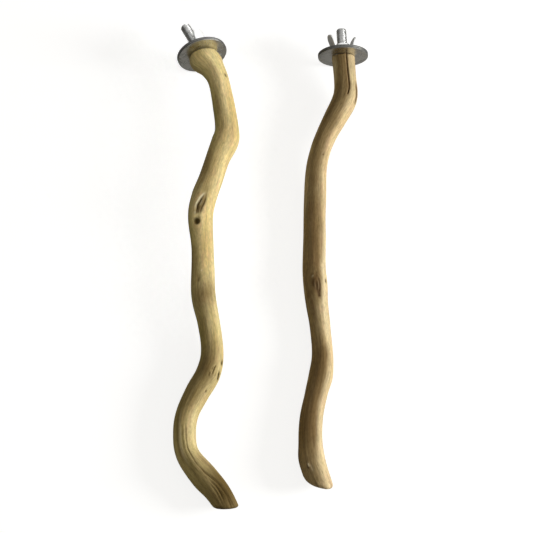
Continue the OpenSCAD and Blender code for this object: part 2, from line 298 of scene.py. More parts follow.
def woodMaterial(name, look):
    material, tree = newMaterial(name)
    shape = woodShape
    grain = readAttribute(tree, "grain", "Vector")
    dark, stainAndShadow, pale = readChannels(tree, "marks")
    brownShade, sawn, oliveShade = readChannels(tree, "tonesAndPaintedShade")
    broad, mottle, bands, fibres, flecks = (
        stretchedNoise(tree, grain, *sizes) for sizes in shape["noises"].values()
    )

    colour = mixColours(tree, remap(tree, broad, *shape["paleRamp"]), look["tan"], look["pale"])
    # The painted shade of the flanks and patches, in olive and brown
    for share, tone in (
        (remap(tree, mottle, *shape["pinkRamp"]), "pink"),
        (remap(tree, mottle, *shape["greenRamp"]), "green"),
        (times(tree, oliveShade, remap(tree, broad, *shape["oliveRamp"])), "oliveShade"),
        (times(tree, brownShade, remap(tree, bands, *shape["brownRamp"])), "brownShade"),
    ):
        colour = mixColours(tree, share, colour, look[tone])
    shade = remap(tree, bands, *shape["bandShade"])
    shade = times(tree, shade, remap(tree, fibres, *shape["fibreShade"]))
    colour = shadeColour(tree, colour, times(tree, shade, remap(tree, flecks, *shape["fleckShade"])))

    # Growth rings on the sawn ends
    across = vectorMaths(tree, "MULTIPLY", grain, (1, 1, 0), "Vector")
    radius = vectorMaths(tree, "LENGTH", across)
    wobbly = plus(tree, radius, times(tree, flecks, shape["ringWobble"]))
    ringWave = maths(tree, "SINE", times(tree, wobbly, 2 * math.pi / look["ringWidth"]))
    sawnColour = mixColours(tree, remap(tree, ringWave, -1, 1, 0, 1), look["sawn"], look["tan"])
    colour = mixColours(tree, sawn, colour, sawnColour)

    # Stains and cracks, with painted shadow where the heads meet the washers, and pale marks, a few of
    # them painted highlights
    for share, tone in ((stainAndShadow, "stainAndShadow"), (pale, "lip"), (dark, "crackAndShadow")):
        colour = mixColours(tree, share, colour, look[tone])
    crackRoughness = times(tree, dark, shape["crackRoughness"])
    roughness = plus(tree, remap(tree, fibres, *shape["roughness"]), crackRoughness)
    height = plus(tree, fibres, times(tree, flecks, shape["fleckHeight"]))
    finishMaterial(tree, height, shape["bumpStrength"], shape["bumpDistance"], {
        "Base Color": colour, "Roughness": roughness, "Specular IOR Level": shape["specular"],
    })
    return material


# Zinc-plated steel, with a cloudy sheen and fine scuffs; cut marks a washer's bare rim. Each
# noise has its size across and along, its detail and its roughness

steelShape = {
    "scuffAxis": (0.3, 0.2, 0.93), "tintRamp": (0.35, 0.65, 0, 1),
    "scuffShade": (0.3, 0.7, 0.9, 1.06), "gritShade": (0.3, 0.6, 0.88, 1.03),
    "cloudRange": (0.3, 0.7), "roughSpread": 0.06, "roughScuffs": (0.3, 0.7, -0.05, 0.06),
    "cutColour": (0.12, 0.12, 0.112, 1), "cutRoughness": 0.25, "gritHeight": 0.6,
    "bumpDistance": 0.03 * mm,
}
washerSteel = {
    "bright": (0.66, 0.655, 0.63, 1), "dull": (0.52, 0.515, 0.48, 1), "roughness": 0.28, "bump": 0.35,
    "clouds": (5 * mm, 5 * mm, 4, 0.55), "grit": (0.35 * mm, 0.35 * mm, 3, 0.7),
    "scuffs": (0.22 * mm, 3.96 * mm, 4, 0.6), "scuffTurn": 0.9,
}
boltSteel = {
    "bright": (0.72, 0.72, 0.71, 1), "dull": (0.55, 0.55, 0.54, 1), "roughness": 0.27, "bump": 0.25,
    "clouds": (3 * mm, 3 * mm, 4, 0.55), "grit": (0.3 * mm, 0.3 * mm, 3, 0.7),
    "scuffs": (0.3 * mm, 5.4 * mm, 4, 0.6), "scuffTurn": 0.2,
}
nutSteel = {
    "bright": (0.86, 0.86, 0.85, 1), "dull": (0.74, 0.74, 0.73, 1), "roughness": 0.38, "bump": 0.3,
    "clouds": (4 * mm, 4 * mm, 4, 0.55), "grit": (0.3 * mm, 0.3 * mm, 3, 0.7),
    "scuffs": (0.25 * mm, 4.5 * mm, 4, 0.6), "scuffTurn": 2.1,
}


def steelMaterial(name, look):
    material, tree = newMaterial(name)
    shape, rough, spread = steelShape, look["roughness"], steelShape["roughSpread"]
    place = addNode(tree, "TexCoord").outputs["Object"]
    turned = addNode(tree, "VectorRotate", {
        "Vector": place, "Axis": shape["scuffAxis"], "Angle": look["scuffTurn"],
    }).outputs[0]
    clouds = stretchedNoise(tree, place, *look["clouds"])
    grit = stretchedNoise(tree, place, *look["grit"])
    scuffs = stretchedNoise(tree, turned, *look["scuffs"])
    colour = mixColours(tree, remap(tree, clouds, *shape["tintRamp"]), look["dull"], look["bright"])
    shade = times(tree, remap(tree, scuffs, *shape["scuffShade"]), remap(tree, grit, *shape["gritShade"]))
    cut = readAttribute(tree, "cut", "Fac")
    colour = mixColours(tree, cut, shadeColour(tree, colour, shade), shape["cutColour"])
    cloudy = remap(tree, clouds, *shape["cloudRange"], rough - spread, rough + spread)
    scuffed = remap(tree, scuffs, *shape["roughScuffs"])
    bare = times(tree, cut, shape["cutRoughness"])
    height = plus(tree, scuffs, times(tree, grit, shape["gritHeight"]))
    finishMaterial(tree, height, look["bump"], shape["bumpDistance"], {
        "Base Color": colour, "Metallic": 1.0, "Roughness": plus(tree, cloudy, plus(tree, scuffed, bare)),
    })
    return material


woodFinishes = {
    "left": woodMaterial("yellowWood", yellowWood), "right": woodMaterial("brownWood", brownWood),
}
washerFinish = steelMaterial("washerSteel", washerSteel)
boltFinish = steelMaterial("boltSteel", boltSteel)
nutFinish = steelMaterial("nutSteel", nutSteel)
print("materials made")


# A mark in the wood: its path as places along the branch and angles round it, its width and
# depth in mm, the radius in mm if it's a ring, its tones, and how it fades at edge and ends
# A few marks are painted shadow or painted highlights
def mark(path, width, depth=0.0, ring=0.0, dark=0, stainAndShadow=0, pale=0, edge=2, taper=0.25):
    return {
        "path": path, "width": width * mm, "depth": depth * mm, "ring": ring * mm,
        "tonesAndPaintedShade": (dark, stainAndShadow, pale), "edge": edge, "taper": taper,
    }


# The branches. Each row is a place along the branch, its sideways place, its height from
# lying on the table (0) to the middle of the washers (1), and its thickness, as shares
leftBranch = {
    "side": "left", "run": 276 * mm, "faceTurn": (15.5, -3.5), "boltTurn": (27, -3.5),
    "endTurn": (5, 28), "nutTurn": 115, "rimRound": 2 * mm, "endRound": 1.5 * mm,
    "boltStands": 25 * mm, "seed": 11,
    # Flanks of painted shade, darker on the sides turned from the light: place, middle angle, reach, fade
    # and amount
    "paintedBrownShade": [[0, 120, 40, 40, 0.4], [1, 120, 40, 40, 0.1]],
    "paintedOliveShade": [
        [0, 185, 80, 60, 0.5], [0.15, 180, 90, 60, 0.9], [0.83, 180, 90, 60, 0.9],
        [0.89, 180, 90, 60, 0.5], [0.94, 180, 90, 60, 0.75], [1, 180, 90, 60, 0.9],
    ],
    # Patches of painted brown shade: place and length along the branch, angle and spread round it, amount
    "paintedShadePatches": [
        [0.13, 0.07, 116, 24, 0.5], [0.2, 0.03, 100, 50, 0.3], [0.285, 0.05, 140, 45, 0.85],
        [0.34, 0.03, 100, 55, 0.45], [0.5, 0.04, 150, 40, 0.8], [0.563, 0.032, 80, 75, 0.95],
        [0.62, 0.06, 105, 45, 0.4], [0.72, 0.055, 98, 46, 1.0], [0.79, 0.045, 100, 46, 0.85],
        [0.985, 0.06, 60, 110, 1.0],
    ],
    "rows": [
        [0, 0, 1, 1.32], [0.016, 0.105, 1.01, 1.36], [0.035, 0.3, 1.02, 1.07],
        [0.065, 0.485, 1.02, 0.94], [0.12, 0.635, 0.98, 0.97], [0.18, 0.745, 0.9, 1.02],
        [0.215, 0.69, 0.85, 1.15], [0.255, 0.49, 0.78, 1.05], [0.3, 0.31, 0.7, 1.06],
        [0.345, 0.12, 0.62, 1.11], [0.39, 0.03, 0.56, 1.08], [0.46, 0.105, 0.47, 0.95],
        [0.56, 0.155, 0.33, 1.03], [0.62, 0.31, 0.28, 0.93], [0.685, 0.42, 0.2, 0.93],
        [0.73, 0.32, 0.1, 1.02], [0.77, 0.03, 0.04, 1.01], [0.81, -0.215, 0, 0.935],
        [0.85, -0.28, 0, 0.92], [0.895, -0.185, 0, 0.94], [0.94, 0.27, 0, 1.08], [0.972, 0.63, 0, 1],
        [1, 0.865, 0, 0.92],
    ],
    # Place and length along the branch, height, angle round it and spread in degrees
    "knots": [
        [0.205, 0.02, 0.04, 10, 40], [0.35, 0.03, 0.05, 110, 30], [0.735, 0.012, 0.04, 60, 30],
        [0.93, 0.03, 0.05, 100, 40],
    ],
    # Place, angle and size of what the fibres flow round
    "flows": [(0.375, 95, 2.6 * mm), (0.407, 108, 2.4 * mm), (0.73, 62, 1.6 * mm)],
    "marks": [
        # The scar of a side shoot: a raised pale lip with a painted highlight round a stained hollow, two
        # cracks, a sliver between
        mark([(0.346, 83), (0.352, 92), (0.359, 101), (0.37, 111), (0.38, 117)], 0.6, -0.4, pale=0.8),
        mark([(0.386, 115), (0.393, 117)], 0.5, -0.25, pale=0.5),
        mark([(0.351, 81), (0.363, 87), (0.376, 95), (0.393, 101)],
             2.1, 0.35, stainAndShadow=0.92, edge=4, taper=0.35),
        mark([(0.347, 83), (0.359, 93), (0.365, 96), (0.373, 106), (0.381, 107), (0.392, 112)],
             0.6, 0.8, dark=0.65, stainAndShadow=1),
        mark([(0.348, 78), (0.36, 74), (0.369, 76), (0.378, 83), (0.392, 91)],
             0.5, 0.5, dark=0.55, stainAndShadow=1),
        mark([(0.378, 97), (0.384, 100), (0.393, 99)], 0.8, 0.4, dark=0.35, stainAndShadow=0.9, taper=0.3),
        mark([(0.36, 88), (0.366, 89), (0.375, 93)], 0.4, -0.25, pale=0.25),
        mark([(0.393, 100), (0.403, 94)], 0.9, 0.2, stainAndShadow=0.55),
        mark([(0.4067, 108)], 2.05, 1.2, dark=0.8, stainAndShadow=1, edge=6),
        mark([(0.409, 101), (0.411, 104)], 0.5, -0.3, pale=0.12),
        mark([(0.368, 25), (0.372, 24)], 0.7, 0.1, stainAndShadow=0.35),
        # Painted shadow in the crevice where the rounded head meets the washer
        mark([(0, 50), (0, 85), (0, 125)], 0.95, 0.05, dark=0.9, stainAndShadow=0.9, edge=3),
        # Small cracks, specks and broad darker bands further along
        mark([(0.524, 104), (0.5436, 112.5)], 0.9, 0.15, stainAndShadow=0.4),
        mark([(0.533, 108), (0.542, 112)], 0.4, 0.3, dark=0.3, stainAndShadow=0.6),
        mark([(0.516, 94), (0.52, 95)], 0.4, -0.1, pale=0.5),
        mark([(0.172, 116), (0.201, 102)], 1.2, 0.1, stainAndShadow=0.25),
        mark([(0.25, 118), (0.3, 114), (0.36, 125)], 2.4, stainAndShadow=0.35, taper=0.4),
        mark([(0.325, 82), (0.36, 78)], 2.2, stainAndShadow=0.35),
        mark([(0.228, 83), (0.231, 82)], 0.5, 0.2, stainAndShadow=0.5),
        mark([(0.061, 44), (0.068, 41)], 0.65, 0.35, dark=0.5, stainAndShadow=0.8),
        mark([(0.703, 14), (0.7105, 22)], 0.8, 0.4, dark=0.95, stainAndShadow=1),
        mark([(0.725, 26), (0.7365, 12)], 1.05, 0.8, dark=1, stainAndShadow=1, edge=3),
        mark([(0.716, 57), (0.724, 62), (0.737, 63)], 0.45, 0.5, dark=0.4, stainAndShadow=0.85),
        mark([(0.72, 68), (0.728, 72)], 0.4, 0.3, stainAndShadow=0.8),
        mark([(0.733, 78), (0.7405, 70)], 0.4, 0.3, dark=0.2, stainAndShadow=0.8),
        mark([(0.727, 50), (0.736, 47)], 0.35, 0.25, stainAndShadow=0.6),
        mark([(0.722, 66), (0.75, 50)], 2.4, 0.1, stainAndShadow=0.25),
        mark([(0.69, 108), (0.75, 108), (0.79, 112)], 4.5, stainAndShadow=0.4, taper=0.5),
        mark([(0.761, 45), (0.766, 42)], 0.55, 0.25, dark=0.3, stainAndShadow=0.7),
        # The cracks that run out through the tail, faint at first, and broader darker brown over the tail
        # and its end
        mark([(0.835, 88), (0.85, 82), (0.8767, 81), (0.9087, 84), (0.9258, 91), (0.936, 89)],
             0.4, 0.25, stainAndShadow=0.7, taper=0.4),
        mark([(0.93, 90), (0.9383, 88.5), (0.9496, 78), (0.9589, 71), (0.9701, 69), (0.979, 67), (1, 80)],
             0.55, 0.6, dark=0.4, stainAndShadow=1, taper=0.3),
        mark([(0.948, 92), (0.9609, 88.5), (0.9726, 90), (0.985, 94)], 0.5, 0.4, dark=0.3, stainAndShadow=0.9),
        mark([(0.94, 80), (0.953, 69), (0.97, 60), (1, 62)], 0.5, 0.25, dark=0.2, stainAndShadow=0.8),
        mark([(0.955, 102), (0.97, 103), (0.99, 110)], 0.5, 0.2, stainAndShadow=0.5),
        mark([(0.84, 104), (0.88, 100), (0.92, 104)], 0.6, 0.15, stainAndShadow=0.35),
        mark([(0.81, 120), (0.85, 113), (0.89, 114), (0.92, 120)], 0.7, -0.05, pale=0.4, taper=0.4),
        mark([(0.79, 134), (0.84, 126), (0.88, 126), (0.92, 132)], 0.9, 0.1, stainAndShadow=0.55, taper=0.3),
        mark([(0.968, 12), (0.98, 21), (0.9912, 30)], 0.3, 0.3, dark=0.3, stainAndShadow=0.6),
        mark([(0.945, 82), (1, 86)], 3.2, stainAndShadow=0.85, taper=0.5),
        mark([(0.93, 60), (0.96, 45), (1, 25)], 5.5, dark=0.12, stainAndShadow=0.8, taper=0.4),
        mark([(0.945, 80), (0.97, 68), (1, 62)], 2.6, dark=0.42, stainAndShadow=0.9, taper=0.4),
        mark([(1, 20), (1, 90), (1, 160)], 1.6, dark=0.5, stainAndShadow=0.9, taper=0.1),
        mark([(0.9, 112), (0.935, 120)], 1.6, 0.1, stainAndShadow=0.25),
    ],
}
rightBranch = {
    "side": "right", "run": 264 * mm, "faceTurn": (1, 11), "boltTurn": (3, 11),
    "endTurn": (-12, 30), "nutTurn": 20, "rimRound": 0.6 * mm, "endRound": 4 * mm,
    "boltStands": 18 * mm, "seed": 47,
    # Flanks and patches of painted shade, as on the left perch
    "paintedBrownShade": [
        [0, 104, 62, 40, 0.95], [0.2, 104, 66, 44, 0.95], [0.28, 102, 96, 86, 0.92],
        [0.42, 102, 98, 86, 0.92], [0.52, 112, 86, 45, 0.9], [0.58, 118, 76, 40, 0.9],
        [0.62, 142, 84, 45, 0.8], [0.66, 142, 78, 40, 0.85], [0.69, 130, 78, 42, 0.9],
        [0.72, 114, 80, 44, 0.95], [0.78, 112, 78, 44, 1], [0.9, 112, 78, 44, 1],
        [0.95, 132, 84, 45, 0.85], [1, 140, 84, 50, 0.75],
    ],
    "paintedOliveShade": [[0, 190, 80, 60, 0.3], [1, 190, 80, 60, 0.3]],
    "paintedShadePatches": [[0.03, 0.06, 70, 70, 0.4]],
    "rows": [
        [0, 0, 1, 1.03], [0.05, 0.05, 0.72, 0.995], [0.085, 0.055, 0.54, 1.03],
        [0.115, -0.04, 0.47, 1.07], [0.15, -0.265, 0.43, 1.02], [0.19, -0.52, 0.41, 0.93],
        [0.23, -0.715, 0.38, 0.88], [0.28, -0.85, 0.29, 0.91], [0.35, -0.9, 0.14, 0.96],
        [0.44, -0.925, 0, 0.96], [0.51, -0.95, 0, 0.985], [0.555, -0.92, 0, 1.01],
        [0.6, -0.885, 0, 0.925], [0.65, -0.815, 0, 0.86], [0.715, -0.76, 0, 0.885],
        [0.76, -0.82, 0, 0.97], [0.8, -0.945, 0, 0.925], [0.85, -1.08, 0, 0.935], [0.9, -1.12, 0, 0.96],
        [0.95, -1.07, 0, 1.04], [1, -0.87, 0, 0.99],
    ],
    "knots": [
        [0.095, 0.025, 0.04, 20, 40], [0.55, 0.02, 0.06, 95, 35], [0.765, 0.02, 0.04, 30, 40],
        [0.94, 0.02, 0.04, 150, 40],
    ],
    "flows": [(0.563, 90, 3.0 * mm), (0.55, 30, 1.2 * mm)],
    "marks": [
        # The long crack from the sawn end
        mark([(0, 77), (0.0326, 78), (0.0596, 75), (0.0863, 73.5), (0.1005, 76.5)],
             0.45, 0.8, dark=0.3, stainAndShadow=1, taper=0.08),
        mark([(0.066, 28), (0.0912, 22), (0.112, 16)], 1.2, 0.35, dark=0.35, stainAndShadow=0.95),
        # Painted shadow in the crevice where the head meets the washer
        mark([(0, 40), (0, 90), (0, 140)], 0.35, 0.05, dark=0.4, stainAndShadow=0.6),
        # A speck, and broad darker bands along the top of the middle and the lower part
        mark([(0.246, 62), (0.2515, 61)], 0.45, 0.3, dark=0.1, stainAndShadow=0.7),
        mark([(0.35, 98), (0.45, 95), (0.545, 90)], 3.2, stainAndShadow=0.45, taper=0.2),
        mark([(0.7, 103), (0.78, 100), (0.93, 100)], 3.8, stainAndShadow=0.5, taper=0.2),
        # The knot: a small dark heart, a faint pale rim and broken dark rings in a brown halo
        mark([(0.535, 92), (0.552, 91), (0.57, 89), (0.588, 80)], 2.7, -0.1, stainAndShadow=0.85, taper=0.35),
        mark([(0.575, 112), (0.585, 135), (0.59, 150)], 2.6, stainAndShadow=0.4, taper=0.3),
        mark([(0.537, 86), (0.546, 88), (0.55, 93)], 0.6, 0.2, dark=0.15, stainAndShadow=0.75),
        mark([(0.547, 84), (0.554, 75), (0.565, 71), (0.577, 73), (0.585, 79)],
             0.65, 0.25, dark=0.55, stainAndShadow=1),
        mark([(0.553, 101), (0.561, 106), (0.57, 103)], 0.75, 0.15, dark=0.2, stainAndShadow=0.9),
        mark([(0.57, 92), (0.577, 82), (0.585, 78), (0.592, 76)],
             1.1, 0.3, dark=0.5, stainAndShadow=1, taper=0.15),
        mark([(0.56, 89), (0.571, 87)], 0.25, -0.1, ring=1.05, pale=0.1, taper=0.1),
        mark([(0.558, 90), (0.572, 86)], 0.75, 0.3, dark=0.5, stainAndShadow=1),
        # A painted highlight on the knot's upper left
        mark([(0.545, 100), (0.549, 108)], 0.4, -0.2, pale=0.4),
        # A speck and a stain beside the knot
        mark([(0.549, 29), (0.557, 30)], 0.8, 0.45, dark=0.5, stainAndShadow=0.85),
        mark([(0.59, 118), (0.64, 121)], 1.3, stainAndShadow=0.45),
        # Nicks at the tail, the first a raised nick with a painted highlight
        mark([(0.953, 117), (0.959, 118)], 0.5, -0.3, pale=0.9),
        mark([(0.955, 124), (0.962, 122)], 0.45, 0.35, dark=0.5, stainAndShadow=0.8),
        mark([(0.955, 107), (0.966, 104)], 0.6, 0.15, pale=0.25),
        mark([(0.955, 77), (0.957, 76)], 0.35, 0.15, stainAndShadow=0.4),
        mark([(0.966, 66), (0.97, 65)], 0.4, 0.2, stainAndShadow=0.4),
    ],
}
branchMesh = {
    "sides": 160, "ringStep": 0.6 * mm, "leastGap": 0.4 * mm, "roundRings": 9, "fineSteps": 4001,
    "stepsPerRow": 4, "thickness": 13 * mm, "wander": 20 * mm, "ovalShare": 0.03,
    "slantLength": 20.8 * mm, "leastHeight": 0.05 * mm,
    # Hand-peeled flats, low ridges and raised fibres, as layers of noise
    "relief": [(0.14 * mm, 5, 22, 0.3), (0.06 * mm, 22, 26, 0), (0.028 * mm, 70, 34, 0)],
    # How far the edges of the painted shade flanks and patches stray, in degrees, and along the branch
    # for a degree
    "straying": [(14, 3, 9, 0), (7, 7, 40, 0)],
    "strayingAlong": 1 / 900,
    # How the fibres turn along the branch and round a knot
    "twist": 14, "twistLength": 60 * mm, "flowStretch": 1.9,
    # The far sawn face, and the washers' one with the bolt's hole
    "capRings": 8, "leastShare": 0.02, "sawRipple": 0.03 * mm, "faceRings": 6,
    "holeRadius": 3.05 * mm, "tipRadius": 0.55 * mm, "leastGrain": 0.1, "faceMarks": 0.6,
}
markShape = {
    "stepsPerPlace": 14, "reachWidths": 3, "reachMore": 2 * mm, "margin": 0.02, "overrun": 0.04,
    "endPower": 0.7,
}


def localRadius(branch, t):
    return branchMesh["thickness"] / 2 * smoothColumn(branch, 3, t)


def middleOf(branch, t):
    lift, lyingHeight = smoothColumn(branch, 2, t), localRadius(branch, t)
    seat = branch["seat"]
    return np.stack([
        seat[0] + branchMesh["wander"] * smoothColumn(branch, 1, t),
        seat[1] - branch["run"] * smoothColumn(branch, 0, t),
        lyingHeight + (seat[2] - lyingHeight) * lift,
    ], -1)


# Points on the branch at each t and angle, in the same rings as the solid's
def branchPoints(branch, t, angles, shift=np.zeros(1), growth=np.zeros(1), relief=0.0):
    step = 1 / (len(branch["rows"]) - 1) / branchMesh["stepsPerRow"]
    onward, back = np.minimum(t + step, 1), np.maximum(t - step, 0)
    ahead = unit(middleOf(branch, onward) - middleOf(branch, back))
    side = unit(np.cross(up, ahead))
    top = np.cross(ahead, side)
    centre = middleOf(branch, t) + ahead * shift[:, None]
    along = smoothColumn(branch, 0, t)
    place = along * branch["run"]
    fromFirst = np.maximum(0, 1 - place / branchMesh["slantLength"])
    fromLast = np.maximum(0, 1 - (branch["run"] - place) / branchMesh["slantLength"])
    faceAim = np.where((fromFirst > 0)[:, None], branch["face"], branch["end"])
    slant = (fromFirst + fromLast) / (ahead * faceAim).sum(-1)
    swelling = np.zeros((len(t), len(angles)))
    for knotPlace, length, height, angle, spread in branch["knots"]:
        nearness = ((along[:, None] - knotPlace) / length) ** 2
        nearness = nearness + (turnFrom(angles, angle)[None, :] / spread) ** 2
        swelling += branchMesh["thickness"] * height * np.exp(-nearness)
    turns = np.radians(angles)[None, :]
    oval = 1 + branchMesh["ovalShare"] * np.cos(2 * turns)
    r = localRadius(branch, t)[:, None] * oval + swelling + growth[:, None] + relief
    out = r[..., None] * (
        np.cos(turns)[..., None] * side[:, None, :] + np.sin(turns)[..., None] * top[:, None, :]
    )
    lean = (out * faceAim[:, None, :]).sum(-1) * slant[:, None]
    return centre[:, None, :] + out - ahead[:, None, :] * lean[..., None]


# The rings' stations: t, a shift along the branch, a change of radius and the length up to there
def ringStations(branch):
    fine = np.linspace(0, 1, branchMesh["fineSteps"])
    steps = np.linalg.norm(np.diff(middleOf(branch, fine), axis=0), axis=1)
    length = np.concatenate([[0], np.cumsum(steps)])
    t = np.interp(np.arange(0, length[-1], branchMesh["ringStep"]), length, fine)
    place = branch["run"] * smoothColumn(branch, 0, t)
    clear = np.minimum(place - branch["rimRound"], branch["run"] - place - branch["endRound"])
    t = t[clear > branchMesh["leastGap"]]
    a = np.linspace(0, math.pi / 2, branchMesh["roundRings"])
    rim, end, none = branch["rimRound"], branch["endRound"], np.zeros(len(t))
    shift = np.concatenate([rim * (1 - np.cos(a)), none, end * (np.sin(a) - 1)])
    growth = np.concatenate([rim * (np.sin(a) - 1), none, end * (np.cos(a) - 1)])
    t = np.concatenate([np.zeros(len(a)), t, np.ones(len(a))])
    return t, shift, growth, np.interp(t, fine, length)


# How strongly a mark shows at each point of the branch
def markStrength(branch, oneMark, points, t, fineT, finePlace):
    places, turns = np.array(oneMark["path"], float).T
    legs = np.linspace(0, 1, len(places) * markShape["stepsPerPlace"])
    stops = np.linspace(0, 1, len(places))
    places, turns = np.interp(legs, stops, places), np.interp(legs, stops, turns)
    pathT = np.interp(places, finePlace, fineT)
    line = [branchPoints(branch, pathT[i:i + 1], turns[i:i + 1])[0, 0] for i in range(len(legs))]
    lowest, highest = pathT.min() - markShape["margin"], pathT.max() + markShape["margin"]
    rows = np.where((t >= lowest) & (t <= highest))[0]
    near = points[rows]
    nearest, where = np.full(near.shape[:2], np.inf), np.zeros(near.shape[:2])
    for leg, spot in zip(legs, line):
        distance = np.linalg.norm(near - spot, axis=-1)
        closer = distance < nearest
        nearest, where = np.where(closer, distance, nearest), np.where(closer, leg, where)
    shape = np.exp(-(np.abs(nearest - oneMark["ring"]) / oneMark["width"]) ** oneMark["edge"])
    if len(oneMark["path"]) > 1:
        fromEnds = np.minimum(where, 1 - where) + markShape["overrun"]
        shape = shape * np.clip(fromEnds / oneMark["taper"], 0, 1) ** markShape["endPower"]
    reach = markShape["reachWidths"] * oneMark["width"] + oneMark["ring"] + markShape["reachMore"]
    strength = np.zeros(points.shape[:2])
    strength[rows] = np.where(nearest < reach, shape, 0)
    return strength


# A flank of painted shade: full round its middle angle, gone at its reach, with a straying edge
def flankShare(rows, places, angles, straying):
    columns = np.array(rows, float).T
    middle, reach, fade, amount = (np.interp(places, columns[0], column) for column in columns[1:])
    turn = np.abs(turnFrom(angles[None, :], middle)) + straying
    return amount * ease(np.clip((reach - turn) / fade, 0, 1))


def sawnTone():
    return np.tile([0.0, 1.0, 0.0], (branchMesh["sides"], 1))


# The far sawn face, closed in towards its middle: points, grain, marks and tones of each ring
def capLayers(branch, ring, grain, marks):
    sawRough = np.random.default_rng(branch["seed"] + 5)
    middle, ripple = ring.mean(0), branchMesh["sawRipple"]
    layers = []
    for share in np.linspace(1, 0, branchMesh["capRings"] + 1)[1:]:
        share = max(share, branchMesh["leastShare"])
        rough = branch["end"] * sawRough.uniform(-ripple, ripple)
        layers.append((
            middle + (ring - middle) * share + rough,
            grain * np.array([share, share, 1]),
            marks * max(0, 2 * share - 1),
            sawnTone(),
        ))
    return layers


# The washers' sawn face in to the bolt's hole, the hole's wall and its tapered bottom
def holeLayers(branch, boltAim, ring, grain, marks):
    seat, radius = branch["seat"], branchMesh["thickness"] / 2
    spokes = ring - seat
    spokes = unit(spokes - np.outer(spokes @ boltAim, boltAim))
    wall = seat + spokes * branchMesh["holeRadius"]
    drop = ((wall - seat) @ branch["face"]) / (boltAim @ branch["face"])
    mouth = wall - np.outer(drop, boltAim)
    depth = boltShape["length"] - branch["boltStands"]
    taperStart = wall - boltAim * (depth - boltShape["point"])
    bottom = seat + spokes * branchMesh["tipRadius"] - boltAim * depth
    shares = np.linspace(0, 1, branchMesh["faceRings"] + 1)[1:]
    inner = [ring + (mouth - ring) * share for share in shares]
    inner += [mouth + (taperStart - mouth) * share for share in (0.5, 1.0)] + [bottom]
    layers = []
    for points in reversed(inner):
        size = np.linalg.norm(points - seat, axis=-1, keepdims=True)
        flat = grain.copy()
        flat[:, :2] *= np.clip(size / radius, branchMesh["leastGrain"], 1)
        layers.append((points, flat, marks * branchMesh["faceMarks"], sawnTone()))
    return layers


def buildBranch(branch):
    side, seed = branch["side"], branch["seed"]
    branch["face"], branch["end"] = aimOf(*branch["faceTurn"]), -aimOf(*branch["endTurn"])
    turnJoint = joints[side + "_nut_turn"]
    branch["seat"], boltAim = np.array(turnJoint["pos_m"]), np.array(turnJoint["axis"])
    t, shift, growth, length = ringStations(branch)
    sides = branchMesh["sides"]
    angles = np.arange(sides) * 360 / sides
    base = branchPoints(branch, t, angles, shift, growth)
    shape = base.shape[:2]
    around = np.broadcast_to(angles / 360, shape)
    along = np.broadcast_to((length / length[-1])[:, None], shape)

    relief = layeredNoise(seed, around, along, branchMesh["relief"])
    fineT = np.linspace(0, 1, branchMesh["fineSteps"])
    finePlace = np.maximum.accumulate(smoothColumn(branch, 0, fineT))
    marks = np.zeros((*shape, 3))
    for oneMark in branch["marks"]:
        strength = markStrength(branch, oneMark, base, t, fineT, finePlace)
        relief = relief - oneMark["depth"] * strength
        marks = np.maximum(marks, strength[..., None] * np.array(oneMark["tonesAndPaintedShade"]))
    points = branchPoints(branch, t, angles, shift, growth, relief)
    points[..., 2] = np.maximum(points[..., 2], branchMesh["leastHeight"])

    # Angles and lengths that the fibres follow, drawn aside by the knots
    radius = branchMesh["thickness"] / 2
    grainTurn = np.broadcast_to(angles, shape).copy()
    grainLength = np.broadcast_to(length[:, None], shape)
    for place, angle, size in branch["flows"]:
        middle = np.interp(np.interp(place, finePlace, fineT), t, length)
        across = np.radians(turnFrom(angles, angle))[None, :] * radius
        distance = ((grainLength - middle) / branchMesh["flowStretch"]) ** 2 + across ** 2
        grainTurn -= np.degrees(across / radius) * size ** 2 / np.maximum(distance, size ** 2)
    grainTurn += branchMesh["twist"] * np.sin(grainLength / branchMesh["twistLength"] + seed)
    turns = np.radians(grainTurn)
    grain = np.stack([radius * np.cos(turns), radius * np.sin(turns), grainLength], -1)

    # Painted shade: brown and olive flanks, darker on the sides turned from the light, and browner
    # patches
    places = np.interp(t, fineT, finePlace)[:, None]
    straying = layeredNoise(seed + 3, around, along, branchMesh["straying"])
    brownShade = flankShare(branch["paintedBrownShade"], places, angles, straying)
    oliveShade = flankShare(branch["paintedOliveShade"], places, angles, straying)
    for place, patchLength, angle, spread, amount in branch["paintedShadePatches"]:
        nearness = ((places - place + straying * branchMesh["strayingAlong"]) / patchLength) ** 2
        nearness = nearness + ((turnFrom(angles, angle)[None, :] + straying) / spread) ** 2
        brownShade = 1 - (1 - brownShade) * (1 - amount * np.exp(-nearness))
    tonesAndPaintedShade = np.stack([brownShade, np.zeros(shape), oliveShade], -1)

    layers = holeLayers(branch, boltAim, points[0], grain[0], marks[0])
    layers += list(zip(points, grain, marks, tonesAndPaintedShade))
    layers += capLayers(branch, points[-1], grain[-1], marks[-1])
    allPoints, grain, marks, tonesAndPaintedShade = (np.concatenate(column) for column in zip(*layers))
    faces = tubeFaces(len(layers), sides)
    piece = makePiece(side + "Branch", allPoints, faces, woodFinishes[side], sharpAngle=50)
    addAttribute(piece, "grain", "FLOAT_VECTOR", grain)
    addAttribute(piece, "marks", "FLOAT_COLOR", marks)
    addAttribute(piece, "tonesAndPaintedShade", "FLOAT_COLOR", tonesAndPaintedShade)
    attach(piece, "perches")
    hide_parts(side + "_branch")
    print(side, "branch made,", len(layers), "rings")


# Washers: punched discs, rolled over at the edge on one face and crisp on the other

washerShape = {
    "radius": 14.95 * mm, "thickness": 1 * mm, "holeRadius": 3.2 * mm,
    "rollOver": 0.32 * mm, "burr": 0.12 * mm, "segments": 144, "arcSteps": 6,
    "waviness": 0.02 * mm, "spin": 40, "bareRim": 0.12 * mm, "bareFade": 0.08 * mm,
}


